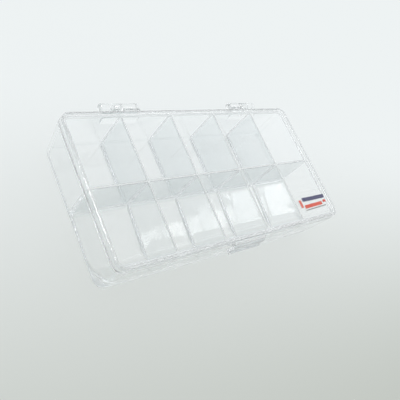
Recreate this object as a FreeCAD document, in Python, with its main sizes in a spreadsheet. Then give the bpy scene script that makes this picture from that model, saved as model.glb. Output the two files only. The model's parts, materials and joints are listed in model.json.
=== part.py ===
import FreeCAD, Part
import math
import os

import Sketcher

# A clear compartment case for beads and small parts: a tray moulded with ten
# compartments, a shallow lid on two snap-in hinges, a snap tab at the middle of
# the front, and a small film label on the lid. Millimetres, +X along the case,
# +Y towards the hinges, +Z up. The origin is the middle of the tray's base.
# The tray and the lid are one moulding each. Their walls, dividers, hinges and
# latch are separate bodies here, and bodies of one moulding meet face to face.

# Driving sizes, in millimetres.
sizes = {
    # Outline. The case is widest at the seam between lid and tray.
    "case_length": 136.0,
    "case_width": 68.5,
    "case_height": 25.0,
    "corner_radius": 4.5,
    # Lid.
    "lid_height": 3.75,
    "lid_plate": 1.4,
    "lid_skirt": 1.3,
    "lid_side_draft": 0.35,
    "lid_edge_radius": 0.6,
    "seam_gap": 0.15,
    # Tray.
    "tray_side_draft": 1.2,
    "tray_floor": 1.5,
    "cavity_draft": 0.5,
    "base_edge_radius": 2.8,
    "lip_wall": 0.7,
    "lip_gap": 0.3,
    "lid_clearance": 0.35,
    "scoop_radius": 10.0,
    "scoop_setback": 0.15,
    "floor_rise": 2.0,
    # Dividers, thicker at the root than at the top.
    "middle_wall_root": 1.6,
    "middle_wall_top": 1.1,
    "divider_root": 1.4,
    "divider_top": 1.0,
    # Hinges. A station is where a hinge's two knuckles meet, from the middle.
    "hinge_station": 37.5,
    "hinge_reach": 3.2,
    "hinge_depth": 3.4,
    "knuckle_radius": 2.0,
    "knuckle_gap": 0.6,
    "tray_knuckle_width": 9.4,
    "lid_knuckle_width": 8.6,
    "hinge_pin_radius": 1.0,
    "hinge_pin_clearance": 0.06,
    "hinge_pin_length": 5.0,
    "hinge_bore_spare": 0.6,
    "hinge_foot_drop": 5.2,
    "hinge_foot_proud": 1.1,
    "hinge_swing_gap": 0.4,
    "hinge_web_top": 0.5,
    # Snap latch.
    "tab_width": 20.0,
    "tab_wall": 1.1,
    "tab_gap": 0.75,
    "tab_drop": 5.0,
    "tab_root_top": 1.1,
    "tab_corner_radius": 1.6,
    "thumb_reach": 0.7,
    "thumb_height": 1.0,
    "nose_proud": 0.45,
    "nose_height": 0.9,
    "nose_gap": 0.2,
    "catch_width": 15.0,
    "catch_proud": 0.3,
    "catch_height": 1.2,
    "catch_depth": 1.6,
    # Film label on the lid.
    "label_length": 26.0,
    "label_width": 13.5,
    "label_film": 0.12,
    "label_corner_radius": 1.5,
    "label_from_end": 17.0,
    "label_from_front": 9.8,
    # How far a feature that is fused or cut runs into what carries it.
    "overrun": 0.6,
}
columns = 5  # compartments along the case; there are two rows

doc = FreeCAD.newDocument("compartment_case")
sheet = doc.addObject("Spreadsheet::Sheet", "sizes")


class Size:
    """A number together with the sheet formula that gives it."""

    def __init__(self, number, formula):
        self.number = number
        self.formula = formula

    def _with(self, other, sign, work):
        other = other if isinstance(other, Size) else Size(float(other), repr(float(other)))
        return Size(work(self.number, other.number), f"({self.formula} {sign} {other.formula})")

    def __add__(self, other):
        return self._with(other, "+", lambda a, b: a + b)

    def __sub__(self, other):
        return self._with(other, "-", lambda a, b: a - b)

    def __mul__(self, other):
        return self._with(other, "*", lambda a, b: a * b)

    def __truediv__(self, other):
        return self._with(other, "/", lambda a, b: a / b)

    def __neg__(self):
        return self * -1


class Sizes:
    """The sheet's cells as Size values, by name."""


s = Sizes()
for line, (name, number) in enumerate(sizes.items(), start=1):
    sheet.set(f"A{line}", name)
    sheet.set(f"B{line}", str(number))
    sheet.setAlias(f"B{line}", name)
    setattr(s, name, Size(number, f"sizes.{name}"))
doc.recompute()
zero = Size(0.0, "0")

# Levels, from the base up.
seam = s.case_height - s.lid_height
lid_bottom = seam + s.seam_gap
plate_bottom = s.case_height - s.lid_plate
lip_top = plate_bottom - s.lid_clearance

# Plan half sizes. A "half" is measured from the middle of the case.
half_length = s.case_length / 2
half_width = s.case_width / 2
rim_wall = s.lid_skirt + s.lip_gap + s.lip_wall
cavity_half_length = half_length - rim_wall
cavity_half_width = half_width - rim_wall
cavity_corner = s.corner_radius - rim_wall
floor_half_length = cavity_half_length - s.cavity_draft
floor_half_width = cavity_half_width - s.cavity_draft
divider_height = lip_top - s.tray_floor
pitch = (cavity_half_length + cavity_half_length + s.divider_root) / columns

# Hinge axis, behind the back wall and near the seam.
axis_y = half_width + s.hinge_reach
axis_z = s.case_height - s.hinge_depth


def wall_y(level):
    """How far the tray's outside stands from the middle, at a level above the base."""
    return half_width - s.tray_side_draft + s.tray_side_draft * level / seam


def skirt_y(level):
    """How far the lid's outside stands from the middle, at a level above the base."""
    return half_width - s.lid_side_draft * (level - lid_bottom) / (s.case_height - lid_bottom)


def bind(thing, prop, size):
    """Ties a property of an object to the sheet."""
    thing.setExpression(prop, size.formula)


def body(label):
    """A new sub-part. Its label names its file."""
    made = doc.addObject("PartDesign::Body", label)
    made.Label = label
    return made


def plane(part, role):
    """One of a body's own origin planes."""
    return next(f for f in part.Origin.OriginFeatures if f.Role == role)


def sketch(part, name, role, offset=zero):
    """A sketch on one of the body's origin planes, moved along its normal."""
    made = part.newObject("Sketcher::SketchObject", name)
    made.AttachmentSupport = (plane(part, role), [""])
    made.MapMode = "FlatFace"
    bind(made, "AttachmentOffset.Base.z", offset)
    return made


def place_point(sk, geo, end, name, across=None, up=None):
    """Fixes the coordinates of a point of a sketch by named sizes."""
    for kind, size in (("DistanceX", across), ("DistanceY", up)):
        if size is not None:
            index = sk.addConstraint(Sketcher.Constraint(kind, geo, end, size.number))
            sk.renameConstraint(index, f"{name}_{kind}")
            bind(sk, f"Constraints.{name}_{kind}", size)


def outline(sk, corners):
    """A closed outline through corners. A corner is (across, up), and a third
    entry makes the edge that leaves it an arc about that centre, anticlockwise."""
    points = [FreeCAD.Vector(c[0].number, c[1].number, 0) for c in corners]
    for i, corner in enumerate(corners):
        start, end = points[i], points[(i + 1) % len(points)]
        if len(corner) == 3:
            centre = FreeCAD.Vector(corner[2][0].number, corner[2][1].number, 0)
            ring = Part.Circle(centre, FreeCAD.Vector(0, 0, 1), (start - centre).Length)
            first, last = (math.atan2(p.y - centre.y, p.x - centre.x) for p in (start, end))
            sk.addGeometry(Part.ArcOfCircle(ring, first, last), False)
        else:
            sk.addGeometry(Part.LineSegment(start, end), False)
    for i in range(len(corners)):
        sk.addConstraint(Sketcher.Constraint("Coincident", i, 2, (i + 1) % len(corners), 1))
    for i, corner in enumerate(corners):
        before = corners[i - 1]
        # An arc's far end slides on its circle, so only one coordinate is set.
        slides = len(before) == 3
        level = slides and abs(points[i].y - before[2][1].number) < abs(points[i].x - before[2][0].number)
        across = None if slides and level else corner[0]
        up = None if slides and not level else corner[1]
        place_point(sk, i, 1, f"corner{i}", across, up)
        if len(corner) == 3:
            place_point(sk, i, 3, f"centre{i}", corner[2][0], corner[2][1])
    return sk


def rounded_rectangle(sk, half_x, half_y, radius, middle=(zero, zero)):
    """A rectangle with round corners about a middle point."""
    x, y, r = half_x.number, half_y.number, radius.number
    mx, my = middle[0].number, middle[1].number
    corners = [(x, -y, -90, 0), (x, y, 0, 90), (-x, y, 90, 180), (-x, -y, 180, 270)]
    arcs = []
    for cx, cy, first, last in corners:
        centre = FreeCAD.Vector(mx + math.copysign(abs(cx) - r, cx), my + math.copysign(abs(cy) - r, cy), 0)
        ring = Part.Circle(centre, FreeCAD.Vector(0, 0, 1), r)
        arcs.append(Part.ArcOfCircle(ring, math.radians(first), math.radians(last)))
    for i, arc in enumerate(arcs):
        sk.addGeometry(arc, False)
        sk.addGeometry(Part.LineSegment(arc.EndPoint, arcs[(i + 1) % 4].StartPoint), False)
    for i in range(8):
        sk.addConstraint(Sketcher.Constraint("Tangent", i, 2, (i + 1) % 8, 1))
    for i in (1, 5):
        sk.addConstraint(Sketcher.Constraint("Vertical", i))
        sk.addConstraint(Sketcher.Constraint("Horizontal", i + 2))
    for i in (2, 4, 6):
        sk.addConstraint(Sketcher.Constraint("Equal", 0, i))
    place_point(sk, 1, 1, "right", across=middle[0] + half_x)
    place_point(sk, 3, 1, "back", up=middle[1] + half_y)
    place_point(sk, 5, 1, "left", across=middle[0] - half_x)
    place_point(sk, 7, 1, "front", up=middle[1] - half_y)
    index = sk.addConstraint(Sketcher.Constraint("Radius", 0, r))
    sk.renameConstraint(index, "corner_radius")
    bind(sk, "Constraints.corner_radius", radius)
    return sk


def circle(sk, across, up, radius):
    """A full circle."""
    centre = FreeCAD.Vector(across.number, up.number, 0)
    sk.addGeometry(Part.Circle(centre, FreeCAD.Vector(0, 0, 1), radius.number), False)
    place_point(sk, 0, 3, "centre", across, up)
    index = sk.addConstraint(Sketcher.Constraint("Radius", 0, radius.number))
    sk.renameConstraint(index, "radius")
    bind(sk, "Constraints.radius", radius)
    return sk


def extrude(part, name, kind, profile, length, both_ways=False, back=False, widens=None):
    """A Pad or Pocket of a sketch. With widens, every side moves out by that
    much over the length, or in where it is negative."""
    made = part.newObject(f"PartDesign::{kind}", name)
    made.Profile = profile
    bind(made, "Length", length)
    made.Midplane = both_ways
    made.Reversed = back
    if widens is not None:
        angle = math.degrees(math.atan(widens.number / length.number))
        bind(made, "TaperAngle", Size(angle, f"atan({widens.formula} / {length.formula})"))
    return made


def drafted_wall(part, name, low, high, root, top):
    """A wall between two levels with flat, leaning faces. Root and top are its
    rectangles at those levels: left, right, front and back."""
    made = part.newObject("PartDesign::AdditiveWedge", name)
    made.AttachmentSupport = (plane(part, "XY_Plane"), [""])
    made.MapMode = "FlatFace"
    made.AttachmentOffset = FreeCAD.Placement(FreeCAD.Vector(), FreeCAD.Rotation(FreeCAD.Vector(1, 0, 0), 90))
    bounds = {
        "Ymin": low, "Ymax": high,
        "Xmin": root[0], "Xmax": root[1], "Zmin": -root[3], "Zmax": -root[2],
        "X2min": top[0], "X2max": top[1], "Z2min": -top[3], "Z2max": -top[2],
    }
    for prop, size in bounds.items():
        setattr(made, prop, size.number)
    for prop, size in bounds.items():
        bind(made, prop, size)
    return made


def rounded(part, name, base, radius, wanted):
    """Rounds the edges of a feature that the test picks."""
    doc.recompute()
    names = [f"Edge{i}" for i, edge in enumerate(base.Shape.Edges, start=1) if wanted(edge)]
    made = part.newObject("PartDesign::Fillet", name)
    made.Base = (base, names)
    bind(made, "Radius", radius)
    return made


def lies_at(edge, level):
    """True for an edge that lies flat at a level."""
    box = edge.BoundBox
    return max(abs(box.ZMin - level.number), abs(box.ZMax - level.number)) < 1e-4


def scoop_outline(sk):
    """The filling under the floor of the front row, seen from the end. The
    floor curves up to the front wall and climbs to the middle wall, whose
    leaning face the filling meets. The curve starts a little behind the front
    wall's face, so that it meets the leaning wall in a clear edge."""
    wall_face = -(floor_half_width + s.cavity_draft * s.scoop_radius / divider_height)
    face = wall_face - s.scoop_setback
    back = face + s.scoop_radius
    top = s.tray_floor + s.scoop_radius
    root = -s.middle_wall_root / 2
    lean = (s.middle_wall_root - s.middle_wall_top) / 2
    return outline(sk, [
        (face, top, (back, top)),
        (back, s.tray_floor),
        (root + lean * s.floor_rise / divider_height, s.tray_floor + s.floor_rise),
        (root, s.tray_floor),
        (root, s.tray_floor - s.overrun),
        (face - s.overrun, s.tray_floor - s.overrun),
        (face - s.overrun, top),
    ])


def tray_shell():
    """Floor and walls of the tray, with the lip that the lid fits over."""
    part = body("tray_shell")
    base = sketch(part, "base_outline", "XY_Plane")
    rounded_rectangle(base, half_length - s.tray_side_draft, half_width - s.tray_side_draft,
                      s.corner_radius - s.tray_side_draft)
    outside = extrude(part, "outside", "Pad", base, seam, widens=s.tray_side_draft)
    rounded(part, "base_edge", outside, s.base_edge_radius, lambda edge: lies_at(edge, zero))
    lip_inset = s.lid_skirt + s.lip_gap
    lip = sketch(part, "lip_outline", "XY_Plane", seam)
    rounded_rectangle(lip, half_length - lip_inset, half_width - lip_inset, s.corner_radius - lip_inset)
    extrude(part, "lip", "Pad", lip, lip_top - seam)
    mouth = sketch(part, "mouth_outline", "XY_Plane", lip_top)
    rounded_rectangle(mouth, cavity_half_length, cavity_half_width, cavity_corner)
    extrude(part, "cavity", "Pocket", mouth, divider_height, widens=-s.cavity_draft)
    scoop = sketch(part, "scoop_profile", "YZ_Plane")
    scoop_outline(scoop)
    extrude(part, "scoop", "Pad", scoop, (floor_half_length + s.overrun) * 2, both_ways=True)
    return part


def middle_wall():
    """The long wall between the two rows, end to end inside the tray."""
    part = body("middle_wall")
    root = (-floor_half_length, floor_half_length, -s.middle_wall_root / 2, s.middle_wall_root / 2)
    top = (-cavity_half_length, cavity_half_length, -s.middle_wall_top / 2, s.middle_wall_top / 2)
    drafted_wall(part, "wall", s.tray_floor, lip_top, root, top)


def divider(number, row):
    """A cross divider. Row 1 is the back row and row -1 the front row."""
    part = body(f"{'back' if row > 0 else 'front'}_divider_{number}")
    middle = pitch * (number - columns / 2)
    spans = []
    for thickness, wall, reach in (
        (s.divider_root, s.middle_wall_root, floor_half_width),
        (s.divider_top, s.middle_wall_top, cavity_half_width),
    ):
        near, far = (wall / 2, reach) if row > 0 else (-reach, -wall / 2)
        spans.append((middle - thickness / 2, middle + thickness / 2, near, far))
    drafted_wall(part, "wall", s.tray_floor, lip_top, *spans)
    if row < 0:
        scoop = sketch(part, "scoop_profile", "YZ_Plane", middle)
        scoop_outline(scoop)
        extrude(part, "scoop_relief", "Pocket", scoop, s.divider_root * 2, both_ways=True)


def hinge_side(side):
    """The name of a hinge by the side of the case it is on."""
    return "right" if side > 0 else "left"


def tray_hinge(side):
    """A tray knuckle on its arm, over a foot along the tray's back wall. Its
    blind bore opens towards the middle of the case."""
    part = body(f"tray_hinge_{hinge_side(side)}")
    away = side < 0  # a pad grows along +X, or along -X when reversed
    station = s.hinge_station * side
    joint_face = station + s.knuckle_gap / 2 * side
    foot_top = seam - s.hinge_swing_gap
    foot_bottom = seam - s.hinge_foot_drop
    foot_end = station - (s.knuckle_gap / 2 + s.lid_knuckle_width) * side
    foot_face = wall_y(foot_top) + s.hinge_foot_proud
    foot_edge = foot_bottom + s.hinge_foot_proud * 2  # the foot's sloping underside ends here
    foot = sketch(part, "foot_profile", "YZ_Plane", foot_end)
    outline(foot, [
        (wall_y(foot_bottom), foot_bottom),
        (foot_face, foot_edge),
        (foot_face, foot_top),
        (wall_y(foot_top), foot_top),
    ])
    width = s.lid_knuckle_width + s.knuckle_gap + s.tray_knuckle_width
    extrude(part, "foot", "Pad", foot, width, back=away)
    arm = sketch(part, "arm_profile", "YZ_Plane", joint_face)
    outline(arm, [
        (foot_face - s.overrun, foot_edge),
        (axis_y + s.knuckle_radius, axis_z),
        (axis_y - s.knuckle_radius, axis_z),
        (foot_face - s.overrun, foot_top),
    ])
    extrude(part, "arm", "Pad", arm, s.tray_knuckle_width, back=away)
    knuckle = sketch(part, "knuckle_profile", "YZ_Plane", joint_face)
    circle(knuckle, axis_y, axis_z, s.knuckle_radius)
    extrude(part, "knuckle", "Pad", knuckle, s.tray_knuckle_width, back=away)
    bore = sketch(part, "bore_profile", "YZ_Plane", joint_face)
    circle(bore, axis_y, axis_z, s.hinge_pin_radius + s.hinge_pin_clearance)
    depth = s.hinge_pin_length - s.knuckle_gap + s.hinge_bore_spare
    extrude(part, "bore", "Pocket", bore, depth, back=not away)


def lid_cover():
    """The lid's top plate and skirt."""
    part = body("lid_cover")
    rim = sketch(part, "rim_outline", "XY_Plane", lid_bottom)
    rounded_rectangle(rim, half_length, half_width, s.corner_radius)
    outside = extrude(part, "outside", "Pad", rim, s.case_height - lid_bottom, widens=-s.lid_side_draft)
    rounded(part, "top_edge", outside, s.lid_edge_radius, lambda edge: lies_at(edge, s.case_height))
    mouth = sketch(part, "mouth_outline", "XY_Plane", lid_bottom)
    rounded_rectangle(mouth, half_length - s.lid_skirt, half_width - s.lid_skirt,
                      s.corner_radius - s.lid_skirt)
    extrude(part, "hollow", "Pocket", mouth, plate_bottom - lid_bottom, back=True,
            widens=-s.lid_side_draft / 2)


def lid_hinge(side):
    """A lid knuckle on its web, with the pin that snaps into the tray knuckle."""
    part = body(f"lid_hinge_{hinge_side(side)}")
    away = side < 0
    station = s.hinge_station * side
    inner_end = station - (s.knuckle_gap / 2 + s.lid_knuckle_width) * side
    joint_face = station - s.knuckle_gap / 2 * side
    web = sketch(part, "web_profile", "YZ_Plane", inner_end)
    web_top = s.case_height - s.hinge_web_top - s.lid_edge_radius
    outline(web, [
        (skirt_y(lid_bottom), lid_bottom),
        (axis_y, axis_z - s.knuckle_radius / 2),
        (axis_y, axis_z + s.knuckle_radius),
        (skirt_y(web_top), web_top),
    ])
    extrude(part, "web", "Pad", web, s.lid_knuckle_width, back=away)
    knuckle = sketch(part, "knuckle_profile", "YZ_Plane", inner_end)
    circle(knuckle, axis_y, axis_z, s.knuckle_radius)
    extrude(part, "knuckle", "Pad", knuckle, s.lid_knuckle_width, back=away)
    pin = sketch(part, "pin_profile", "YZ_Plane", joint_face)
    circle(pin, axis_y, axis_z, s.hinge_pin_radius)
    extrude(part, "pin", "Pad", pin, s.hinge_pin_length, back=away)


def latch_tab():
    """The springy tab that hangs from the middle of the lid's front edge, with
    a nose on its inside and a thumb lip along its bottom."""
    part = body("latch_tab")
    profile = sketch(part, "tab_profile", "YZ_Plane")
    root_top = s.case_height - s.tab_root_top
    inside = -(half_width + s.tab_gap)
    outside = inside - s.tab_wall
    tip = seam - s.tab_drop
    nose_top = seam - s.catch_depth - s.catch_height - s.nose_gap
    outline(profile, [
        (-skirt_y(lid_bottom), lid_bottom),
        (-skirt_y(root_top), root_top),
        (-half_width - s.tab_wall / 2, root_top),
        (outside, lid_bottom),
        (outside, tip + s.thumb_height + s.thumb_reach),
        (outside - s.thumb_reach, tip + s.thumb_height),
        (outside - s.thumb_reach, tip),
        (inside, tip),
        (inside, nose_top - s.nose_height - s.nose_proud),
        (inside + s.nose_proud, nose_top - s.nose_height),
        (inside + s.nose_proud, nose_top),
        (inside, nose_top),
        (inside, lid_bottom - s.tab_gap / 2),
    ])
    extrude(part, "tab", "Pad", profile, s.tab_width, both_ways=True)
    edge, radius = s.tab_width / 2, s.tab_corner_radius
    beyond = edge + s.overrun
    corners = {
        "right": [(edge - radius, tip, (edge - radius, tip + radius)), (edge, tip + radius),
                  (beyond, tip + radius), (beyond, tip - s.overrun), (edge - radius, tip - s.overrun)],
        "left": [(-edge, tip + radius, (radius - edge, tip + radius)), (radius - edge, tip),
                 (radius - edge, tip - s.overrun), (-beyond, tip - s.overrun), (-beyond, tip + radius)],
    }
    for side, corner in corners.items():
        cut = sketch(part, f"{side}_corner_profile", "XZ_Plane", half_width)
        outline(cut, corner)
        reach = s.tab_gap + s.tab_wall + s.thumb_reach + s.overrun
        extrude(part, f"{side}_corner", "Pocket", cut, reach * 2, both_ways=True)


def latch_catch():
    """The low ridge on the tray's front wall that the tab's nose snaps under."""
    part = body("latch_catch")
    profile = sketch(part, "ridge_profile", "YZ_Plane")
    top = seam - s.catch_depth
    bottom = top - s.catch_height
    middle = (top + bottom) / 2
    outline(profile, [
        (-wall_y(bottom), bottom),
        (-wall_y(top), top),
        (-wall_y(middle) - s.catch_proud, middle),
    ])
    extrude(part, "ridge", "Pad", profile, s.catch_width, both_ways=True)


def film_label():
    """A thin blank film label on the lid, near its front right corner."""
    part = body("film_label")
    middle = (half_length - s.label_from_end, -(half_width - s.label_from_front))
    film = sketch(part, "film_outline", "XY_Plane", s.case_height)
    rounded_rectangle(film, s.label_length / 2, s.label_width / 2, s.label_corner_radius, middle)
    extrude(part, "film", "Pad", film, s.label_film)


tray_shell()
middle_wall()
for row in (-1, 1):
    for number in range(1, columns):
        divider(number, row)
for side in (-1, 1):
    tray_hinge(side)
    lid_hinge(side)
latch_catch()
lid_cover()
latch_tab()
film_label()
doc.recompute()

failed = [o.Name for o in doc.Objects if {"Invalid", "Error"} & set(o.State)]
if failed:
    raise RuntimeError(f"these objects failed: {failed}")
parts = [o for o in doc.Objects if o.TypeId == "PartDesign::Body"]
for part in parts:
    if part.Shape.isNull() or not part.Shape.isValid():
        raise RuntimeError(f"{part.Label} has no valid shape")
os.makedirs("parts", exist_ok=True)
for part in parts:
    part.Shape.exportStep(f"parts/{part.Label}.step")
    print(f"{part.Label}: {len(part.Shape.Solids)} solid, {part.Shape.Volume:.1f} mm3")
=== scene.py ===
import json
import math

import bmesh
import bpy
import numpy as np
from mathutils import Matrix, Vector


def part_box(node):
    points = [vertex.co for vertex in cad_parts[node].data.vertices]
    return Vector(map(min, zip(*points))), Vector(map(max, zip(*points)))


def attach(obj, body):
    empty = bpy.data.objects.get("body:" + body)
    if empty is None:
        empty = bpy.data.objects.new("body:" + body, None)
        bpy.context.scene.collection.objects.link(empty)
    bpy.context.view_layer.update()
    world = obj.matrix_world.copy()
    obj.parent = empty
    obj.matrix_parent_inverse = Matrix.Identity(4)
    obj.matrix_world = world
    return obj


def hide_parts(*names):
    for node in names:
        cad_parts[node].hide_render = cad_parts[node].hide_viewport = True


# A clear compartment case. The tray and the lid are one clear moulding each, and the
# lid carries a printed film label. Sizes are in millimetres, and meshes in metres.
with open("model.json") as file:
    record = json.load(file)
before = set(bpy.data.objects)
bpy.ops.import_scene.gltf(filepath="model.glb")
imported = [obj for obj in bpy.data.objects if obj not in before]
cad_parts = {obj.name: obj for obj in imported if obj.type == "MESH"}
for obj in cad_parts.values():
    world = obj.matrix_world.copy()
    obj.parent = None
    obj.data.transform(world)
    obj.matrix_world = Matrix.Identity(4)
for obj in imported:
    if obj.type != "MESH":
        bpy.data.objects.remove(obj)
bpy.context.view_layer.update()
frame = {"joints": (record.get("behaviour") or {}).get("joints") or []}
millimetre = 0.001

# Where the frame puts the case's main pieces and the hinge axis, in millimetres.
trayHigh = np.array(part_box("tray_shell")[1]) / millimetre
lidLow, lidHigh = (np.array(corner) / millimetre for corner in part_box("lid_cover"))
labelLow, labelHigh = (np.array(corner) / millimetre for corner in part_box("film_label"))
axisY, axisZ = np.array(frame["joints"][0]["pos_m"])[1:] / millimetre

case = {
    "cornerRadius": 4.5,
    "seamGap": 0.15,        # between the lid's skirt and the tray's shoulder
    "arcSteps": 10,         # steps in a quarter of a rounded corner
    "leastRadius": 0.05,
    "mergeReach": 2e-6,     # in metres, for points that belong together
    "shortEdge": 1e-6,      # in metres, for edges that are taken out
    "gentleBend": 1.2,      # radians per millimetre at which an edge starts to count
    "tightBend": 2.5,       # and counts in full
}
seamHeight = lidLow[2] - case["seamGap"]
trayTop = trayHigh[2]


def report(stage):
    print("scene:", stage, flush=True)


# The angles of the points on a quarter round.
def quarterTurn(points):
    return np.linspace(0, np.pi / 2, points)


# Rows for the points of a rounded rectangle, counterclockwise from its right front
# corner: x = side + radius * (cos(angle) - sign of the side), and y likewise with sin.
def cornerRows(steps):
    corner = np.repeat(np.arange(4), steps + 1)
    angle = np.radians(-90 + 90 * corner) + np.tile(quarterTurn(steps + 1), 4)
    return {
        "corner": corner,
        "signX": np.array([1, 1, -1, -1])[corner],
        "signY": np.array([-1, 1, 1, -1])[corner],
        "cos": np.cos(angle),
        "sin": np.sin(angle),
    }


# Rings of a rounded rectangle whose sides and radii change from ring to ring. Each
# side has one value for each ring, and radii has one column for each corner.
def rectangleRings(rows, left, right, front, back, radii, height):
    radius = radii[:, rows["corner"]]
    sideX = np.where(rows["signX"] > 0, right[:, None], left[:, None])
    sideY = np.where(rows["signY"] > 0, back[:, None], front[:, None])
    x = sideX + radius * (rows["cos"] - rows["signX"])
    y = sideY + radius * (rows["sin"] - rows["signY"])
    return np.stack([x, y, np.broadcast_to(height[:, None], x.shape)], axis=-1)


# One rounded rectangle about the middle, its outward normals, and how its points move
# when the corners' radius grows by one. Extra points stand along the long sides at
# stopsX and along the short sides at stopsY.
def outlineWithStops(halfX, halfY, radius, stopsX=(), stopsY=()):
    rows = cornerRows(case["arcSteps"])
    turnX, turnY = rows["cos"] - rows["signX"], rows["sin"] - rows["signY"]
    x = halfX * rows["signX"] + radius * turnX
    y = halfY * rows["signY"] + radius * turnY
    arcs = np.stack([x, y, rows["cos"], rows["sin"], turnX, turnY], axis=-1).reshape(4, -1, 6)
    stopsX, stopsY = np.array(stopsX), np.array(stopsY)

    def side(places, across, level, normal):
        points = np.zeros((len(places), 6))
        points[:, across] = places
        points[:, 1 - across] = level
        points[:, 2:4] = normal
        return points

    pieces = [
        arcs[0], side(np.sort(stopsY), 1, halfX, (1, 0)),
        arcs[1], side(-np.sort(-stopsX), 0, halfY, (0, 1)),
        arcs[2], side(-np.sort(-stopsY), 1, -halfX, (-1, 0)),
        arcs[3], side(np.sort(stopsX), 0, -halfY, (0, -1)),
    ]
    return np.split(np.concatenate(pieces), 3, axis=1)


# A profile carried round an outline: point = outline + offset * normal + rounder * turn,
# at its height, where rounder is how much the corners' radius has grown.
def carryProfile(outline, normals, turns, offset, height, rounder=0):
    rounder = np.broadcast_to(rounder, offset.shape)
    flat = outline + offset[:, None, None] * normals + rounder[:, None, None] * turns
    level = np.broadcast_to(height[:, None, None], flat.shape[:2] + (1,))
    return np.concatenate([flat, level], axis=-1)


# Quads between neighbouring rings, closed round each ring, and a flat face over the
# first or last ring where one is wanted.
def ringFaces(rings, capFirst=False, capLast=False):
    count, size = rings.shape[:2]
    ring, point = np.meshgrid(np.arange(count - 1), np.arange(size), indexing="ij")
    after = (point + 1) % size
    quads = np.stack([ring * size + point, ring * size + after,
                      (ring + 1) * size + after, (ring + 1) * size + point], axis=-1)
    faces = quads.reshape(-1, 4).tolist()
    if capFirst:
        faces.append(np.arange(size)[::-1].tolist())
    if capLast:
        faces.append((np.arange(size) + (count - 1) * size).tolist())
    return rings.reshape(-1, 3), faces


# Several surfaces as one closed mesh: shared points are merged, and normals point out.
def closedMesh(name, surfaces):
    counts = np.cumsum([0] + [len(points) for points, faces in surfaces])
    points = np.concatenate([points for points, faces in surfaces]) * millimetre
    faces = [[int(start) + corner for corner in face]
             for start, (ignored, listed) in zip(counts, surfaces) for face in listed]
    mesh = bpy.data.meshes.new(name)
    mesh.from_pydata(points.tolist(), [], faces)
    work = bmesh.new()
    work.from_mesh(mesh)
    bmesh.ops.remove_doubles(work, verts=work.verts, dist=case["mergeReach"])
    bmesh.ops.dissolve_degenerate(work, edges=work.edges, dist=case["shortEdge"])
    bmesh.ops.recalc_face_normals(work, faces=work.faces)
    work.to_mesh(mesh)
    work.free()
    piece = bpy.data.objects.new(name, mesh)
    bpy.context.scene.collection.objects.link(piece)
    return piece


# Runs a piece's modifiers, keeps the result as its own mesh and takes out the helpers.
def settle(piece, helpers=()):
    bpy.context.view_layer.update()
    graph = bpy.context.evaluated_depsgraph_get()
    mesh = bpy.data.meshes.new_from_object(piece.evaluated_get(graph))
    piece.modifiers.clear()
    piece.data = mesh
    mesh.name = piece.name
    for helper in helpers:
        bpy.data.objects.remove(helper)
    return piece


def bevel(piece, width, segments=3, angle=30):
    rounding = piece.modifiers.new("edges", "BEVEL")
    rounding.width = width * millimetre
    rounding.segments = segments
    rounding.limit_method = "ANGLE"
    rounding.angle_limit = math.radians(angle)
    return settle(piece)


def combine(piece, joined, cut=()):
    for helper, operation in [(h, "UNION") for h in joined] + [(h, "DIFFERENCE") for h in cut]:
        step = piece.modifiers.new(helper.name, "BOOLEAN")
        step.object = helper
        step.operation = operation
        step.solver = "EXACT"
    return settle(piece, list(joined) + list(cut))


# Smooth shading in which the large flat faces keep their own direction.
def shadeSmooth(piece):
    piece.data.polygons.foreach_set("use_smooth", np.ones(len(piece.data.polygons), bool))
    weighting = piece.modifiers.new("flatFacesLead", "WEIGHTED_NORMAL")
    weighting.mode = "FACE_AREA"
    weighting.keep_sharp = True
    return settle(piece)


# How tightly the surface bends at each point, kept as the attribute "edge" from 0 to 1:
# the angle between two faces over the distance of their middles across the shared edge.
def markEdges(piece):
    mesh = piece.data
    gentle, tight = case["gentleBend"], case["tightBend"]
    least = 1e-6    # keeps what is divided by above nothing

    def read(items, name, width, kind=float):
        values = np.empty(len(items) * width, kind)
        items.foreach_get(name, values)
        return values.reshape(-1, width) if width > 1 else values

    points = read(mesh.vertices, "co", 3) / millimetre
    ends = read(mesh.edges, "vertices", 2, np.int32)
    # A closed mesh has two face corners on each edge, so they pair up once in its order.
    order = np.argsort(read(mesh.loops, "edge_index", 1, np.int32), kind="stable")
    cornerCount = read(mesh.polygons, "loop_total", 1, np.int32)
    pairs = np.repeat(np.arange(len(mesh.polygons)), cornerCount)[order].reshape(-1, 2)
    along = points[ends[:, 1]] - points[ends[:, 0]]
    along /= np.maximum(np.linalg.norm(along, axis=1, keepdims=True), least)
    toMiddle = read(mesh.polygons, "center", 3)[pairs] / millimetre - points[ends[:, 0]][:, None]
    apart = np.linalg.norm(np.cross(toMiddle, along[:, None]), axis=-1).sum(axis=1)
    normals = read(mesh.polygons, "normal", 3)[pairs]
    angle = np.arccos(np.clip((normals[:, 0] * normals[:, 1]).sum(axis=1), -1, 1))
    share = np.clip((angle / np.maximum(apart, least) - gentle) / (tight - gentle), 0, 1)
    edge = np.zeros(len(points))
    np.maximum.at(edge, ends.ravel(), np.repeat(share, 2))
    mesh.attributes.new("edge", "FLOAT", "POINT").data.foreach_set("value", edge)
    return piece


# A prism along X: an outline in Y and Z, repeated at each place in acrossX. Where lift is
# given, no point lies lower than lift says for its place.
def prism(name, outline, acrossX, lift=None):
    outline = np.array(outline, float)
    acrossX = np.array(acrossX, float)
    rings = np.zeros((len(acrossX), len(outline), 3))
    rings[:, :, 0] = acrossX[:, None]
    rings[:, :, 1:] = outline
    if lift is not None:
        rings[:, :, 2] = np.maximum(rings[:, :, 2], lift(acrossX)[:, None])
    return closedMesh(name, [ringFaces(rings, True, True)])


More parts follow.
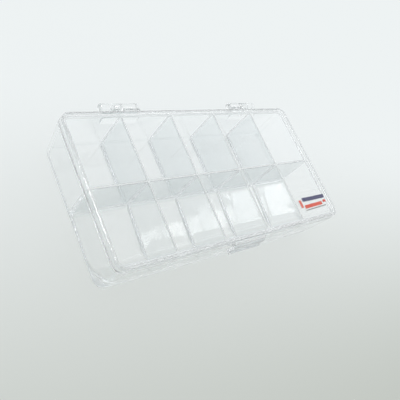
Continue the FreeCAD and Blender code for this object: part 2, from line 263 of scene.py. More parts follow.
# A bar turned about the hinge axis: radius as a function of the place along X, with
# both ends rounded by end: r = radius - end + sqrt(end^2 - (end - depth)^2).
def turnedBar(name, fromX, toX, radius, end, steps=32, endPoints=5):
    depth = end * (1 - np.cos(quarterTurn(endPoints)))
    shrink = end - np.sqrt(np.maximum(end ** 2 - (end - depth) ** 2, 0))
    toward = np.sign(toX - fromX)
    along = np.concatenate([fromX + toward * depth, (toX - toward * depth)[::-1]])
    across = np.concatenate([radius - shrink, (radius - shrink)[::-1]])
    angle = np.linspace(0, 2 * np.pi, steps, endpoint=False)
    rings = np.zeros((len(along), steps, 3))
    rings[:, :, 0] = along[:, None]
    rings[:, :, 1] = axisY + across[:, None] * np.cos(angle)
    rings[:, :, 2] = axisZ + across[:, None] * np.sin(angle)
    return closedMesh(name, [ringFaces(rings, True, True)])


# Tray.
tray = {
    "columns": 5,
    "sideDraft": 1.2,       # how far the outside leans in from the seam to the base
    "baseRound": 2.8,
    "baseCorner": 4.8,      # the outside's corner radius at the base
    "lipInset": 1.6,
    "lipWall": 0.7,
    "edgeRound": 0.25,      # tops of the lip, the dividers and the middle wall
    "shoulderRound": 0.15,
    "floor": 1.5,
    "wallDraft": 0.5,
    "floorRound": 0.9,
    "wallFootRound": 2.4,   # front row, where the floor meets the middle wall
    "riseStart": -21.2,     # front row, where the floor starts to climb, in y
    "riseEase": 1.0,
    "riseAngle": 5.3,
    "floorSink": (0.03, 0.08),      # back row and front row
    "sinkRings": 10,
    "sinkMiddle": 0.1,      # the flat middle's share of the floor
    "pocketCorner": 0.6,
    "scoopRadius": 10.0,    # front row, where the floor meets the front wall
    "middleWallTop": 1.1,
    "middleWallRoot": 1.6,
    "dividerTop": 1.0,
    "dividerRoot": 1.4,
    "edgePoints": 7,        # points on each kind of quarter round
    "pocketPoints": 14,
    "outsidePoints": 6,
    "basePoints": 12,
}
lipMiddle = tray["lipInset"] + tray["lipWall"] / 2
cavityHalf = trayHigh[:2] - tray["lipInset"] - tray["lipWall"]
pitch = (2 * cavityHalf[0] + tray["dividerRoot"]) / tray["columns"]
dividerPlaces = pitch * (np.arange(1, tray["columns"]) - tray["columns"] / 2)


# How far a quarter round of a radius stands in from its wall at a height above its
# foot: radius - sqrt(radius^2 - (radius - height)^2), and nothing above the radius.
def roundInset(radius, height):
    left = np.clip(radius - height, 0, radius)
    return radius - np.sqrt(radius ** 2 - left ** 2)


# One compartment: rounded rectangles from its share of the tray's top down to its
# floor. The sides lean in, the floor's edge is rounded, and in the front row the front
# side follows the curved floor.
def pocket(column, backRow):
    rise = trayTop - tray["floor"]
    edge = tray["edgeRound"]
    quarter = quarterTurn(tray["edgePoints"])[::-1]
    radii = [tray["floorRound"]] + ([] if backRow else [tray["wallFootRound"], tray["scoopRadius"]])
    heights = [radius * (1 - np.cos(quarterTurn(tray["pocketPoints"]))) for radius in radii]
    heights = np.unique(np.round(np.concatenate(heights + [[rise - edge]]), 5))[::-1]
    # The rounded top edge comes first, then the wall and the floor's edge.
    height = np.concatenate([[rise], rise - edge * (1 - np.sin(quarter)), heights[1:]])
    flare = np.concatenate([[0], edge * (1 - np.cos(quarter)), 0 * heights[1:]])
    lean = 1 - height / rise
    inset = roundInset(tray["floorRound"], height) - flare
    wallInset = inset if backRow else roundInset(tray["wallFootRound"], height) - flare

    def side(place, root, isEnd, sign, foot=inset):
        # An outer wall leans by the wall draft, and an inner one by half its taper.
        draft = tray["wallDraft"] if isEnd else root
        return place - sign * (draft * lean + foot)

    dividerLean = (tray["dividerRoot"] - tray["dividerTop"]) / 2
    wallLean = (tray["middleWallRoot"] - tray["middleWallTop"]) / 2
    atLeft, atRight = column == 0, column == tray["columns"] - 1
    leftLine = -cavityHalf[0] - tray["lipWall"] / 2 if atLeft else dividerPlaces[column - 1]
    rightLine = cavityHalf[0] + tray["lipWall"] / 2 if atRight else dividerPlaces[column]
    leftTop = -cavityHalf[0] if atLeft else leftLine + tray["dividerTop"] / 2
    rightTop = cavityHalf[0] if atRight else rightLine - tray["dividerTop"] / 2
    left = side(leftTop, dividerLean, atLeft, -1)
    right = side(rightTop, dividerLean, atRight, 1)
    outerLine = cavityHalf[1] + tray["lipWall"] / 2
    if backRow:
        front = side(tray["middleWallTop"] / 2, wallLean, False, -1)
        back = side(cavityHalf[1], wallLean, True, 1)
        lines = (0, outerLine)
    else:
        back = side(-tray["middleWallTop"] / 2, wallLean, False, 1, wallInset)
        wall = -cavityHalf[1] + tray["wallDraft"] * lean - flare
        scoopFace = -cavityHalf[1] + tray["wallDraft"] * (1 - tray["scoopRadius"] / rise)
        front = np.maximum(wall, scoopFace + roundInset(tray["scoopRadius"], height) - flare)
        lines = (-outerLine, 0)
    # Corners in the order right front, right back, left back, left front.
    atBack = np.array([False, True, True, False])
    outer = np.array([atRight, atRight, atLeft, atLeft]) & (atBack == backRow)
    cavityCorner = case["cornerRadius"] - tray["lipInset"] - tray["lipWall"]
    cornerRadius = np.where(outer, cavityCorner, tray["pocketCorner"])
    grown = np.where(outer, tray["baseCorner"] - case["cornerRadius"] + tray["sideDraft"], 0)
    radii = np.maximum(cornerRadius + grown * lean[:, None] - inset[:, None], case["leastRadius"])
    # The first ring is the compartment's share of the top.
    left[0], right[0], front[0], back[0] = leftLine, rightLine, lines[0], lines[1]
    radii[0] = np.where(outer, case["cornerRadius"] - lipMiddle, 0)
    rows = cornerRows(case["arcSteps"])
    rings = rectangleRings(rows, left, right, front, back, radii, height + tray["floor"])
    # The floor sinks a little toward its middle: z = floor - sink * (1 - share^2).
    share = np.linspace(1, tray["sinkMiddle"], tray["sinkRings"])[1:, None, None]
    middle = rings[-1].mean(axis=0)
    sunk = middle + share * (rings[-1] - middle)
    sunk[:, :, 2] -= tray["floorSink"][0 if backRow else 1] * (1 - share[:, :, 0] ** 2)
    rings = np.concatenate([rings, sunk])
    if not backRow:
        # It climbs to the middle wall: z + slope * past, where past = y - start, eased
        # in, and the climb fades out by the scoop's height.
        past = rings[:, :, 1] - tray["riseStart"]
        past = (past + np.sqrt(past ** 2 + tray["riseEase"] ** 2)) / 2
        climb = math.tan(math.radians(tray["riseAngle"])) * past
        above = (rings[:, :, 2] - tray["floor"]) / tray["scoopRadius"]
        rings[:, :, 2] += climb * np.clip(1 - above, 0, 1)
    return ringFaces(rings, False, True)


# The outside of the tray: lip, shoulder, leaning wall and rounded base, as offsets from
# the middle of the lip's top.
def trayOutside():
    outline = outlineWithStops(
        trayHigh[0] - lipMiddle, trayHigh[1] - lipMiddle, case["cornerRadius"] - lipMiddle,
        dividerPlaces, [0])
    quarter = quarterTurn(tray["outsidePoints"])
    edge, shoulder, lip = tray["edgeRound"], tray["shoulderRound"], tray["lipWall"] / 2
    base = tray["baseRound"] * (1 - np.sin(quarterTurn(tray["basePoints"])))
    wall = np.concatenate([[seamHeight - shoulder], base])
    lean = tray["sideDraft"] * (1 - wall / seamHeight)
    offset = np.concatenate([
        [0], lip - edge + edge * np.sin(quarter),
        lip + shoulder * (1 - np.cos(quarter)),
        lipMiddle - shoulder + shoulder * np.sin(quarter[:-1]),
        lipMiddle - lean - roundInset(tray["baseRound"], wall),
    ])
    height = np.concatenate([
        [trayTop], trayTop - edge + edge * np.cos(quarter),
        seamHeight + shoulder * (1 - np.sin(quarter)),
        seamHeight - shoulder + shoulder * np.cos(quarter[:-1]),
        wall,
    ])
    grown = tray["baseCorner"] - (case["cornerRadius"] - tray["sideDraft"])
    rounder = grown * np.clip(1 - height / seamHeight, 0, 1)
    return ringFaces(carryProfile(*outline, offset, height, rounder), False, True)


hinge = {
    "station": 37.5,        # where a hinge's two knuckles meet, from the middle
    "knuckleGap": 0.6,
    "trayKnuckle": 9.4,
    "lidKnuckle": 8.6,
    "knuckleRadius": 2.0,
    "knuckleEnd": 0.35,
    "pinRadius": 1.0,
    "pinLength": 5.0,
    "boreRadius": 1.06,
    "boreSpare": 0.6,
    "footDrop": 5.2,
    "footProud": 1.1,
    "footTop": 0.4,         # how far the foot stays under the seam
    "sink": 0.4,            # how far the pieces of a moulding run into each other
    "edge": 0.2,
}
latch = {
    "tabWidth": 20.0,
    "tabWall": 1.1,
    "tabGap": 0.75,
    "tabDrop": 5.0,
    "rootTop": 1.1,
    "cornerRadius": 1.6,
    "thumbReach": 0.7,
    "thumbHeight": 1.0,
    "noseProud": 0.45,
    "noseHeight": 0.9,
    "noseGap": 0.2,
    "catchWidth": 15.0,
    "catchProud": 0.3,
    "catchHeight": 1.2,
    "catchDepth": 1.6,
    "edge": 0.15,
    "edgeSegments": 2,
    "edgeAngle": 40,        # degrees from which an edge is rounded
    "cornerPoints": 9,
}


# The tray's outside from the middle, at a height.
def wallPlace(height):
    return trayHigh[1] - tray["sideDraft"] * (1 - height / seamHeight)


# A tray knuckle with its arm and foot, to be joined to the back wall, and its bore.
def trayHinge(side):
    footTop = seamHeight - hinge["footTop"]
    footBottom = seamHeight - hinge["footDrop"]
    footFace = wallPlace(footTop) + hinge["footProud"]
    footEdge = footBottom + 2 * hinge["footProud"]
    behind = wallPlace(footBottom) - hinge["sink"]
    inner = side * (hinge["station"] - hinge["knuckleGap"] / 2 - hinge["lidKnuckle"])
    joint = side * (hinge["station"] + hinge["knuckleGap"] / 2)
    outer = joint + side * hinge["trayKnuckle"]
    foot = bevel(prism("foot", [
        (behind, footBottom), (wallPlace(footBottom), footBottom), (footFace, footEdge),
        (footFace, footTop), (behind, footTop)], sorted([inner, outer])), hinge["edge"])
    inset = side * hinge["edge"] / 2
    arm = bevel(prism("arm", [
        (footFace - hinge["sink"], footEdge),
        (axisY + hinge["knuckleRadius"] - hinge["edge"] / 2, axisZ),
        (axisY - hinge["knuckleRadius"] + hinge["edge"] / 2, axisZ),
        (footFace - hinge["sink"], footTop)], sorted([joint + inset, outer - inset])), hinge["edge"] / 2)
    knuckle = turnedBar("knuckle", joint, outer, hinge["knuckleRadius"], hinge["knuckleEnd"])
    boreEnd = joint + side * (hinge["pinLength"] - hinge["knuckleGap"] + hinge["boreSpare"])
    bore = turnedBar("bore", joint - side * hinge["sink"], boreEnd, hinge["boreRadius"], hinge["edge"])
    return [foot, arm, knuckle], [bore]


def latchRidge():
    top = seamHeight - latch["catchDepth"]
    bottom = top - latch["catchHeight"]
    middle = (top + bottom) / 2
    half = latch["catchWidth"] / 2
    return prism("ridge", [
        (-wallPlace(bottom) + hinge["sink"], bottom), (-wallPlace(bottom), bottom),
        (-wallPlace(middle) - latch["catchProud"], middle),
        (-wallPlace(top), top), (-wallPlace(top) + hinge["sink"], top)], [-half, half])


def makeTray():
    pockets = [pocket(column, backRow) for column in range(tray["columns"]) for backRow in (False, True)]
    moulding = closedMesh("trayMoulding", pockets + [trayOutside()])
    joined, cut = [latchRidge()], []
    for side in (-1, 1):
        added, bored = trayHinge(side)
        joined += added
        cut += bored
    return markEdges(shadeSmooth(combine(moulding, joined, cut)))


report("tray")
trayMoulding = makeTray()

# Lid.
lid = {
    "plate": 1.4,
    "skirt": 1.3,
    "sideDraft": 0.35,
    "topRound": 0.6,
    "edgeRound": 0.3,
    "innerRound": 0.5,
    "points": 7,            # points on its quarter rounds
    "webTop": 1.1,          # how far the hinge web stays under the lid's top
}


# The lid's outside from the middle, at a height.
def skirtPlace(height):
    return lidHigh[1] - lid["sideDraft"] * (height - lidLow[2]) / (lidHigh[2] - lidLow[2])


# The lid's cover: from the edge of its flat top over the rounded edge, down the skirt,
# under it and up its inside to the underside of the plate.
def lidCover():
    outline = outlineWithStops(lidHigh[0], lidHigh[1], case["cornerRadius"])
    quarter = quarterTurn(lid["points"])
    top, edge, inner = lid["topRound"], lid["edgeRound"], lid["innerRound"]
    draft, skirt = lid["sideDraft"], lid["skirt"]
    under = lidHigh[2] - lid["plate"]
    offset = np.concatenate([
        -draft - top + top * np.sin(quarter),
        -edge + edge * np.cos(quarter),
        -skirt + edge - edge * np.sin(quarter),
        -skirt - draft / 2 - inner * (1 - np.cos(quarter)),
    ])
    height = np.concatenate([
        lidHigh[2] - top + top * np.cos(quarter),
        lidLow[2] + edge - edge * np.sin(quarter),
        lidLow[2] + edge - edge * np.cos(quarter),
        under - inner + inner * np.sin(quarter),
    ])
    return ringFaces(carryProfile(*outline, offset, height), True, True)


def lidHinge(side):
    inner = side * (hinge["station"] - hinge["knuckleGap"] / 2 - hinge["lidKnuckle"])
    joint = side * (hinge["station"] - hinge["knuckleGap"] / 2)
    webTop = lidHigh[2] - lid["webTop"]
    behind = lidHigh[1] - lid["skirt"] / 2
    inset = side * hinge["edge"] / 2
    web = bevel(prism("web", [
        (behind, lidLow[2] + lid["edgeRound"]), (lidHigh[1], lidLow[2] + lid["edgeRound"]),
        (axisY, axisZ - hinge["knuckleRadius"] / 2),
        (axisY, axisZ + hinge["knuckleRadius"] - hinge["edge"] / 2),
        (skirtPlace(webTop), webTop), (behind, webTop)], sorted([inner + inset, joint - inset])),
        hinge["edge"] / 2)
    knuckle = turnedBar("knuckle", inner, joint, hinge["knuckleRadius"], hinge["knuckleEnd"])
    pinFoot = joint - side * hinge["sink"]
    pin = turnedBar("pin", pinFoot, joint + side * hinge["pinLength"], hinge["pinRadius"], hinge["edge"])
    return [web, knuckle, pin]


# The tab's profile, and its bottom that rises at both corners by a quarter round.
def latchTab():
    rootTop = lidHigh[2] - latch["rootTop"]
    inside = -lidHigh[1] - latch["tabGap"]
    outside = inside - latch["tabWall"]
    tip = seamHeight - latch["tabDrop"]
    noseTop = seamHeight - latch["catchDepth"] - latch["catchHeight"] - latch["noseGap"]
    half, radius = latch["tabWidth"] / 2, latch["cornerRadius"]
    behind = -lidHigh[1] + lid["skirt"] / 2

    def bottom(place):
        return tip + roundInset(radius, half - np.abs(place))

    corner = half - radius + radius * np.sin(quarterTurn(latch["cornerPoints"]))
    profile = [
        (behind, lidLow[2] + lid["edgeRound"]), (behind, rootTop), (-skirtPlace(rootTop), rootTop),
        (-lidHigh[1] - latch["tabWall"] / 2, rootTop),
        (outside, lidLow[2]), (outside, tip + latch["thumbHeight"] + latch["thumbReach"]),
        (outside - latch["thumbReach"], tip + latch["thumbHeight"]), (outside - latch["thumbReach"], tip),
        (inside, tip), (inside, noseTop - latch["noseHeight"] - latch["noseProud"]),
        (inside + latch["noseProud"], noseTop - latch["noseHeight"]),
        (inside + latch["noseProud"], noseTop), (inside, noseTop),
        (inside, lidLow[2] - latch["tabGap"] / 2), (-lidHigh[1], lidLow[2] + lid["edgeRound"]),
    ]
    tab = prism("tab", profile, np.concatenate([-corner[::-1], corner]), bottom)
    return bevel(tab, latch["edge"], latch["edgeSegments"], latch["edgeAngle"])


def makeLid():
    moulding = closedMesh("lidMoulding", [lidCover()])
    joined = lidHinge(-1) + lidHinge(1) + [latchTab()]
    return markEdges(shadeSmooth(combine(moulding, joined)))


report("lid")
lidMoulding = makeLid()

# Label.
label = {
    "lift": 0.02,           # above the lid's top
    "cornerRadius": 1.5,
    "edgeRound": 0.03,
    "points": 4,            # points on its edge's quarter rounds
}


def makeLabel():
    middle = (labelLow + labelHigh) / 2
    half = (labelHigh - labelLow) / 2
    outline, normals, turns = outlineWithStops(half[0], half[1], label["cornerRadius"])
    edge = label["edgeRound"]
    quarter = quarterTurn(label["points"])
    offset = np.concatenate([-edge + edge * np.sin(quarter), -edge + edge * np.cos(quarter)])
    height = np.concatenate([labelHigh[2] - edge + edge * np.cos(quarter),
                             labelLow[2] + label["lift"] + edge - edge * np.sin(quarter)])
    rings = carryProfile(outline + middle[:2], normals, turns, offset, height)
    return shadeSmooth(closedMesh("filmLabel", [ringFaces(rings, True, True)]))


report("label")
filmLabel = makeLabel()


# Materials. A small helper adds a node and sets its sockets.
def addNode(tree, kind, **values):
    node = tree.nodes.new(kind)
    for name, value in values.items():
        if hasattr(node, name):
            setattr(node, name, value)
        else:
            node.inputs[name.replace("_", " ")].default_value = value
    return node


# Gives a socket its value: a number, a colour or another node's output.
def feed(tree, socket, value):
    if isinstance(value, bpy.types.NodeSocket):
        tree.links.new(value, socket)
    else:
        socket.default_value = value


def calculate(tree, operation, *values):
    node = addNode(tree, "ShaderNodeMath", operation=operation)
    for socket, value in zip(node.inputs, values):
        feed(tree, socket, value)
    return node.outputs["Value"]


# Runs from low to high while the value runs from start to end.
def fade(tree, value, start, end, low=0.0, high=1.0, kind="LINEAR"):
    node = addNode(tree, "ShaderNodeMapRange", interpolation_type=kind,
                   From_Min=start, From_Max=end, To_Min=low, To_Max=high)
    feed(tree, node.inputs["Value"], value)
    return node.outputs["Result"]


# Mixes two colours by a share. Inputs 6 and 7 and output 2 are the node's colours.
def blend(tree, share, first, second):
    node = addNode(tree, "ShaderNodeMix", data_type="RGBA")
    for place, value in ((0, share), (6, first), (7, second)):
        feed(tree, node.inputs[place], value)
    return node.outputs[2]


def partsOf(tree, vector):
    node = addNode(tree, "ShaderNodeSeparateXYZ")
    feed(tree, node.inputs["Vector"], vector)
    return node.outputs


def noise(tree, place, scale, detail):
    node = addNode(tree, "ShaderNodeTexNoise", Scale=scale, Detail=detail)
    feed(tree, node.inputs["Vector"], place)
    return node.outputs["Fac"]


# An empty material, with its output and the object's own coordinates.
def startMaterial(name):
    material = bpy.data.materials.new(name)
    material.use_nodes = True
    tree = material.node_tree
    tree.nodes.clear()
    place = addNode(tree, "ShaderNodeTexCoord").outputs["Object"]
    return material, tree, addNode(tree, "ShaderNodeOutputMaterial"), place


def clothe(piece, material):
    piece.data.materials.clear()
    piece.data.materials.append(material)


# Lengths in this dictionary are in metres.
clearPlastic = {
    "ior": 1.585,
    "trayColour": (0.984, 0.990, 0.992, 1),
    "dividerRoot": (0.85, 0.88, 0.888, 1),      # painted shade on the dividers, full at their foot
    "middleRootShade": (0.745, 0.785, 0.79, 1),      # painted shade on the middle wall, full at its foot
    "wallSpan": (0.050, 0.0015),    # heights where these two begin and are full
    "wallMargin": 0.001,    # how far they stay clear of the outer walls
    "frontShare": 0.4,      # of dividerRoot in the front row
    "middleReach": 0.0025,  # from y = 0, what belongs to the middle wall
    "lidColour": (0.995, 0.997, 0.998, 1),
    # the snap tab's colour, darkened as painted shade
    "tabShadeColour": (0.93, 0.94, 0.945, 1),
    "depthColour": (0.72, 0.75, 0.76, 1),
    "depthDensity": 2.5,    # per metre of plastic
    "rippleScale": 45.0,
    "rippleDetail": 2.0,
    "rippleHeight": 0.00002,
    "hazeScale": 260.0,
    "hazeDetail": 4.0,
    "hazeSpan": (0.35, 0.7),
    "haze": (0.012, 0.05),  # roughness, lowest and highest
    "trayEdgeShade": (0.52, 0.555, 0.575, 1),        # painted shade on tight edges, for the dark surroundings they refract
    # the lid's tight edges get a fainter painted shade
    "lidEdgeShade": (0.90, 0.915, 0.925, 1),
    "trayEdgeShadeHaze": 0.4,    # roughness that tight edges have more
    "lidEdgeShadeHaze": 0.35,
    "rimShare": 0.25,       # share of the painted edge shade in edges outside the compartments
    "baseShare": 0.9,       # share of the painted edge shade in the base's rounded edge
    "footShare": 0.75,      # share of the painted edge shade in the dividers' rounded feet
    "footHeight": 0.0042,   # to which those feet reach up
    "tabEdgeShare": 0.15,   # share of the lid's painted edge shade in the snap tab's edges
    "tabDull": 0.35,        # share of lidEdgeShadeHaze in all of the tab
}


# The tray's colour, the share of the painted edge shade over it, and the share of the edges' extra haze.
# The inner walls carry painted shade that deepens toward their foot, where they are also thicker: the
# share is how far a face looks along the wall's thickness, times a fade over the height.
def wallTintAndShade(tree, place, edge):
    def times(*values):
        product = values[0]
        for value in values[1:]:
            product = calculate(tree, "MULTIPLY", product, value)
        return product

    def size(value):
        return calculate(tree, "ABSOLUTE", value)

    def under(value, limit):
        return calculate(tree, "LESS_THAN", value, limit)

    face = addNode(tree, "ShaderNodeNewGeometry")
    x, y, z = partsOf(tree, place)
    acrossX, acrossY, upward = partsOf(tree, face.outputs["True Normal"])
    reachX, reachY = (millimetre * cavityHalf - clearPlastic["wallMargin"]).tolist()
    middleReach = clearPlastic["middleReach"]
    inner = times(under(size(x), reachX), under(size(y), reachY))
    depth = fade(tree, z, *clearPlastic["wallSpan"])
    row = fade(tree, y, -middleReach, middleReach, clearPlastic["frontShare"])
    # Painted shade on the inner walls, deepest at their foot.
    divider = times(size(acrossX), inner, row, depth)
    middle = times(size(acrossY), under(size(y), middleReach), inner, depth)
    colour = blend(tree, divider, clearPlastic["trayColour"], clearPlastic["dividerRoot"])
    colour = blend(tree, middle, colour, clearPlastic["middleRootShade"])
    # Low down, what looks out and a little down gets painted edge shade, most of all the base's rounded
    # edge: share * (1 - |2 * normal.z + 0.5|).
    turned = size(calculate(tree, "MULTIPLY_ADD", upward, 2.0, 0.5))
    rounded = fade(tree, turned, 1.0, 0.0, 0.0, clearPlastic["baseShare"])
    base = times(under(z, tray["baseRound"] * millimetre), rounded)
    # Painted shade on a divider's rounded foot, which looks half up and half along: share * 2 *
    # |normal.x| * normal.z.
    slant = fade(tree, times(size(acrossX), upward), 0.0, 0.5, 0.0, clearPlastic["footShare"])
    foot = times(slant, under(z, clearPlastic["footHeight"]), inner)
    tight = times(edge, fade(tree, inner, 0.0, 1.0, clearPlastic["rimShare"]))
    tight = calculate(tree, "MAXIMUM", tight, foot)
    return colour, calculate(tree, "MAXIMUM", tight, base), tight


# The same three for the lid. The snap tab, in front of the lid's skirt, gets painted shade and is duller,
# with fainter painted edge shade.
def tabTintAndShade(tree, place, edge):
    ahead = calculate(tree, "LESS_THAN", partsOf(tree, place)["Y"], float(-lidHigh[1]) * millimetre)
    colour = blend(tree, ahead, clearPlastic["lidColour"], clearPlastic["tabShadeColour"])
    edgeShare = fade(tree, ahead, 0.0, 1.0, 1.0, clearPlastic["tabEdgeShare"])
    edge = calculate(tree, "MULTIPLY", edge, edgeShare)
    dull = calculate(tree, "MULTIPLY", ahead, clearPlastic["tabDull"])
    return colour, edge, calculate(tree, "MAXIMUM", edge, dull)


# Clear plastic that refracts light and absorbs a little, with a faint ripple and haze, and painted shade
# laid into its colour, most of all on tight edges.
def clearStyrene(name, edgeShadeKey, tintAndShade):
    material, tree, output, place = startMaterial(name)
    edge = addNode(tree, "ShaderNodeAttribute", attribute_name="edge").outputs["Fac"]
    colour, share, dull = tintAndShade(tree, place, edge)
    haze = noise(tree, place, clearPlastic["hazeScale"], clearPlastic["hazeDetail"])
    spread = fade(tree, haze, *clearPlastic["hazeSpan"], *clearPlastic["haze"])
    rough = calculate(tree, "MULTIPLY_ADD", dull, clearPlastic[edgeShadeKey + "Haze"], spread)
    bump = addNode(tree, "ShaderNodeBump", Strength=1.0, Distance=clearPlastic["rippleHeight"])
    ripple = noise(tree, place, clearPlastic["rippleScale"], clearPlastic["rippleDetail"])
    shader = addNode(tree, "ShaderNodeBsdfPrincipled", IOR=clearPlastic["ior"], Transmission_Weight=1.0)
    depth = addNode(tree, "ShaderNodeVolumeAbsorption", Color=clearPlastic["depthColour"],
                    Density=clearPlastic["depthDensity"])
    feed(tree, bump.inputs["Height"], ripple)
    feed(tree, shader.inputs["Normal"], bump.outputs["Normal"])
    feed(tree, shader.inputs["Roughness"], rough)
    feed(tree, shader.inputs["Base Color"], blend(tree, share, colour, clearPlastic[edgeShadeKey]))
    feed(tree, output.inputs["Surface"], shader.outputs["BSDF"])
    feed(tree, output.inputs["Volume"], depth.outputs["Volume"])
    return material


film = {
    "ior": 1.5,
    "clear": (0.93, 0.94, 0.94, 1),
    "clearShare": 0.06,     # how much the bare film hides
    "inkShare": 0.86,
    "inkRoughness": (0.22, 0.4),
    "inkGrain": 900.0,
    "grainDetail": 3.0,
    "grainSpan": (0.3, 0.7),
    "ragged": 0.00016,      # how far a stripe's edge wanders, in metres
    "raggedScale": 700.0,
    "raggedDetail": 2.0,
    # Each stripe: left, right, front and back in millimetres, its lean, and its colour.
    "stripes": (
        (44.4, 62.6, -23.3, -21.2, 0.00, (0.07, 0.07, 0.16, 1)),
        (44.2, 58.6, -26.9, -25.1, 0.03, (0.74, 0.10, 0.055, 1)),
        (59.9, 62.3, -25.7, -24.3, 0.00, (0.70, 0.08, 0.05, 1)),
        (41.4, 43.2, -26.3, -22.2, 0.00, (0.76, 0.17, 0.12, 1)),
        (43.8, 61.0, -27.95, -27.5, 0.04, (0.22, 0.22, 0.2, 1)),
    ),
}


# Plain printed stripes on clear film. A point lies in a stripe where it is nearer to the
# stripe's middle than half its size, both ways, and a fine noise moves it a little.
def printedFilm(name):
    material, tree, output, place = startMaterial(name)
    shader = addNode(tree, "ShaderNodeBsdfPrincipled", IOR=film["ior"])
    x, y = partsOf(tree, place)[:2]
    wander = noise(tree, place, film["raggedScale"], film["raggedDetail"])
    drift = calculate(tree, "SUBTRACT", wander, 0.5)
    moved = calculate(tree, "ADD", y, calculate(tree, "MULTIPLY", drift, 2 * film["ragged"]))

    def within(offset, low, high):
        away = calculate(tree, "ABSOLUTE", offset)
        return calculate(tree, "LESS_THAN", away, (high - low) / 2 * millimetre)

    colour, cover = film["clear"], 0.0
    for left, right, front, back, lean, ink in film["stripes"]:
        offX = calculate(tree, "SUBTRACT", x, (left + right) / 2 * millimetre)
        offY = calculate(tree, "SUBTRACT", moved, (front + back) / 2 * millimetre)
        offY = calculate(tree, "SUBTRACT", offY, calculate(tree, "MULTIPLY", offX, lean))
        inside = calculate(tree, "MULTIPLY", within(offX, left, right), within(offY, front, back))
        colour = blend(tree, inside, colour, ink)
        cover = calculate(tree, "MAXIMUM", inside, cover)
    grain = noise(tree, place, film["inkGrain"], film["grainDetail"])
    feed(tree, shader.inputs["Roughness"], fade(tree, grain, *film["grainSpan"], *film["inkRoughness"]))
    feed(tree, shader.inputs["Base Color"], colour)
    feed(tree, shader.inputs["Alpha"], fade(tree, cover, 0.0, 1.0, film["clearShare"], film["inkShare"]))
    feed(tree, output.inputs["Surface"], shader.outputs["BSDF"])
    return material


clothe(trayMoulding, clearStyrene("clearTrayStyrene", "trayEdgeShade", wallTintAndShade))
clothe(lidMoulding, clearStyrene("clearLidStyrene", "lidEdgeShade", tabTintAndShade))
clothe(filmLabel, printedFilm("printedFilm"))

trayNodes = ["tray_shell", "middle_wall", "tray_hinge_left", "tray_hinge_right", "latch_catch"]
for rowName in ("front", "back"):
    trayNodes += [f"{rowName}_divider_{number}" for number in range(1, tray["columns"])]
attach(trayMoulding, "tray")
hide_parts(*trayNodes)
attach(lidMoulding, "lid")
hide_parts("lid_cover", "lid_hinge_left", "lid_hinge_right", "latch_tab")
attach(filmLabel, "lid")
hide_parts("film_label")

# Studio: floor, world, lamps and camera.
studio = {
    "floorSize": 3000.0,
    "floorDrop": 0.05,      # keeps the floor clear of the tray's base
    # the paper's colour toward the camera is darkened as painted shade
    "floorShadedNear": (0.53, 0.56, 0.52, 1),
    "floorFar": (0.855, 0.893, 0.895, 1),
    "floorSpan": (-0.15, 0.06),     # metres over which the painted shade fades into the paler paper
    "floorTurn": 11.0,      # that way's angle from y toward x, in degrees
    "ownShare": 0.88,       # share of the floor's colour that needs no light
    "horizon": (0.88, 0.90, 0.90, 1),
    "high": (0.90, 0.92, 0.93, 1),
    "highSpan": (0.45, 0.8),        # sines of the heights between which it is that
    "zenith": (1.0, 1.0, 1.0, 1),
    "worldStrength": 1.0,
    "glowPlace": (27, 44),  # azimuth and elevation of a paler part of the sky
    "glowReach": (46, 6),   # degrees from there over which it comes in
    "glow": 0.27,
    "bounces": 96,          # enough for a ray through all of the walls
    "diffuseBounces": 4,
}
# Angles are in degrees. A mirrored lamp is met by reflected rays only, and the others by
# refracted and diffuse ones only.
lamps = {
    "windowStrip": {"azimuth": 7.2, "elevation": 47.3, "roll": -4.2, "distance": 3000,
                    "width": 125, "height": 1060, "radiance": 4.2, "mirrored": False},
    "backStrip": {"azimuth": 35.5, "elevation": 36.1, "roll": -50.4, "distance": 3000,
                  "width": 200, "height": 1155, "radiance": 2.2, "mirrored": False},
    "edgeCard": {"azimuth": 160, "elevation": 35, "roll": 0, "distance": 800,
                 "width": 120, "height": 500, "radiance": 30.0, "mirrored": True},
}


# Pale paper with painted shade toward the camera. What a camera, mirror or refracted ray sees of it is
# mostly its own colour, and the rest is lit, so the case's shadow stays.
def makeFloor():
    half = studio["floorSize"] / 2
    corners = np.array([(-half, -half), (half, -half), (half, half), (-half, half)])
    corners = np.insert(corners, 2, -studio["floorDrop"], axis=1)
    mesh = bpy.data.meshes.new("studioFloor")
    mesh.from_pydata((corners * millimetre).tolist(), [], [[0, 1, 2, 3]])
    floor = bpy.data.objects.new("studioFloor", mesh)
    bpy.context.scene.collection.objects.link(floor)
    material, tree, output, place = startMaterial("palePaper")
    turned = addNode(tree, "ShaderNodeMapping", Rotation=(0, 0, math.radians(studio["floorTurn"])))
    feed(tree, turned.inputs["Vector"], place)
    along = partsOf(tree, turned.outputs["Vector"])["Y"]
    paler = fade(tree, along, *studio["floorSpan"], kind="SMOOTHSTEP")
    colour = blend(tree, paler, studio["floorShadedNear"], studio["floorFar"])
    rays = addNode(tree, "ShaderNodeLightPath")
    seen = calculate(tree, "MAXIMUM", rays.outputs["Is Camera Ray"], rays.outputs["Is Glossy Ray"])
    seen = calculate(tree, "MAXIMUM", seen, rays.outputs["Is Transmission Ray"])
    paper = addNode(tree, "ShaderNodeBsdfDiffuse")
    shown = addNode(tree, "ShaderNodeEmission", Strength=1.0)
    mixed = addNode(tree, "ShaderNodeMixShader")
    feed(tree, paper.inputs["Color"], colour)
    feed(tree, shown.inputs["Color"], colour)
    feed(tree, mixed.inputs["Fac"], calculate(tree, "MULTIPLY", seen, studio["ownShare"]))
    feed(tree, mixed.inputs[1], paper.outputs["BSDF"])
    feed(tree, mixed.inputs[2], shown.outputs["Emission"])
    feed(tree, output.inputs["Surface"], mixed.outputs["Shader"])
    clothe(floor, material)


# The direction of a place in the sky, from its azimuth and elevation in degrees.
def skyward(azimuth, elevation):
    azimuth, elevation = math.radians(azimuth), math.radians(elevation)
    return Vector((math.cos(azimuth) * math.cos(elevation),
                   math.sin(azimuth) * math.cos(elevation), math.sin(elevation)))


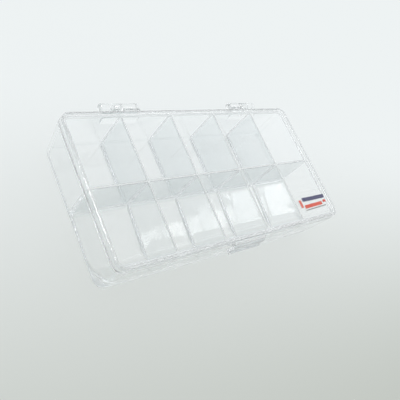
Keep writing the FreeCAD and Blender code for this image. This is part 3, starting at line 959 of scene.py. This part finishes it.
# The sky's colour by height: horizon, high up, and straight overhead. A soft glow adds
# glow * smoothstep of the cosine of the angle from its place.
def makeWorld():
    world = bpy.data.worlds.new("softBox")
    bpy.context.scene.world = world
    world.use_nodes = True
    tree = world.node_tree
    tree.nodes.clear()
    output = addNode(tree, "ShaderNodeOutputWorld")
    sky = addNode(tree, "ShaderNodeBackground")
    direction = addNode(tree, "ShaderNodeTexCoord").outputs["Generated"]
    ramp = addNode(tree, "ShaderNodeValToRGB")
    ramp.color_ramp.elements[0].color = studio["horizon"]
    ramp.color_ramp.elements[1].color = studio["zenith"]
    for place in studio["highSpan"]:
        ramp.color_ramp.elements.new(place).color = studio["high"]
    toward = addNode(tree, "ShaderNodeVectorMath", operation="DOT_PRODUCT")
    toward.inputs[1].default_value = skyward(*studio["glowPlace"])
    feed(tree, toward.inputs[0], direction)
    far, near = (math.cos(math.radians(angle)) for angle in studio["glowReach"])
    glow = fade(tree, toward.outputs["Value"], far, near, kind="SMOOTHSTEP")
    strength = calculate(tree, "MULTIPLY_ADD", glow, studio["glow"], studio["worldStrength"])
    feed(tree, ramp.inputs["Fac"], partsOf(tree, direction)["Z"])
    feed(tree, sky.inputs["Color"], ramp.outputs["Color"])
    feed(tree, sky.inputs["Strength"], strength)
    feed(tree, output.inputs["Surface"], sky.outputs["Background"])


# An area lamp that faces the case. Power = pi * area * radiance.
def addLamp(name, values):
    width, height = values["width"] * millimetre, values["height"] * millimetre
    light = bpy.data.lights.new(name, "AREA")
    light.shape = "RECTANGLE"
    light.size, light.size_y = width, height
    light.energy = math.pi * width * height * values["radiance"]
    lamp = bpy.data.objects.new(name, light)
    direction = skyward(values["azimuth"], values["elevation"])
    lamp.location = direction * values["distance"] * millimetre
    facing = direction.to_track_quat("Z", "Y").to_matrix()
    roll = Matrix.Rotation(math.radians(values["roll"]), 3, "Z")
    lamp.rotation_euler = (facing @ roll).to_euler()
    lamp.visible_glossy = values["mirrored"]
    lamp.visible_transmission = lamp.visible_diffuse = not values["mirrored"]
    bpy.context.scene.collection.objects.link(lamp)


view = {
    "place": (-152.4, -68.6, 171.3),
    "target": (-19.2, -12.5, 25.0),
    "roll": 49.3,
    "lens": 43.5,
    "nearest": 10.0,
}


def addCamera():
    camera = bpy.data.objects.new("camera", bpy.data.cameras.new("camera"))
    camera.data.lens = view["lens"]
    camera.data.clip_start = view["nearest"] * millimetre
    place, target = Vector(view["place"]), Vector(view["target"])
    level = (target - place).to_track_quat("-Z", "Y").to_matrix().to_4x4()
    turn = Matrix.Rotation(math.radians(view["roll"]), 4, "Z")
    camera.matrix_world = Matrix.Translation(place * millimetre) @ level @ turn
    bpy.context.scene.collection.objects.link(camera)
    bpy.context.scene.camera = camera


report("studio")
makeFloor()
makeWorld()
for lampName, lampValues in lamps.items():
    addLamp(lampName, lampValues)
addCamera()
scene = bpy.context.scene
scene.view_settings.view_transform = "Standard"
for kind in ("max", "transmission", "glossy"):
    setattr(scene.cycles, kind + "_bounces", studio["bounces"])
scene.cycles.diffuse_bounces = studio["diffuseBounces"]

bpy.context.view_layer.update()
report("done")
